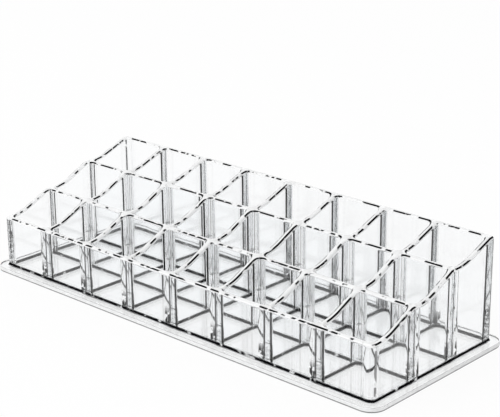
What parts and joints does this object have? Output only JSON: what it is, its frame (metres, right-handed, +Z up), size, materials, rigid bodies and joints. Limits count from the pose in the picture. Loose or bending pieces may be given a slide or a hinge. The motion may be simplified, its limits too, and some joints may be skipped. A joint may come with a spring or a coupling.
{
  "type": "vanity organizer",
  "caption": "Clear stepped vanity organizer: a grid of open square cells, rising towards the back, on a flat base with a flange.",
  "frame": {"origin": "middle of the base plate's underside", "axes": "+X along the length, -Y towards the low front, +Z up"},
  "size_m": [0.231, 0.0898, 0.0485],
  "materials": {
    "clear_plastic": "clear, polished"
  },
  "bodies": {
    "root": {"base_plate": "clear_plastic", "front_wall": "clear_plastic", "back_wall": "clear_plastic", "left_end_wall": "clear_plastic", "right_end_wall": "clear_plastic", "long_divider_front": "clear_plastic", "long_divider_rear": "clear_plastic", "cross_divider_1": "clear_plastic", "cross_divider_2": "clear_plastic", "cross_divider_3": "clear_plastic", "cross_divider_4": "clear_plastic", "cross_divider_5": "clear_plastic", "cross_divider_6": "clear_plastic", "cross_divider_7": "clear_plastic"}
  },
  "joints": []
}
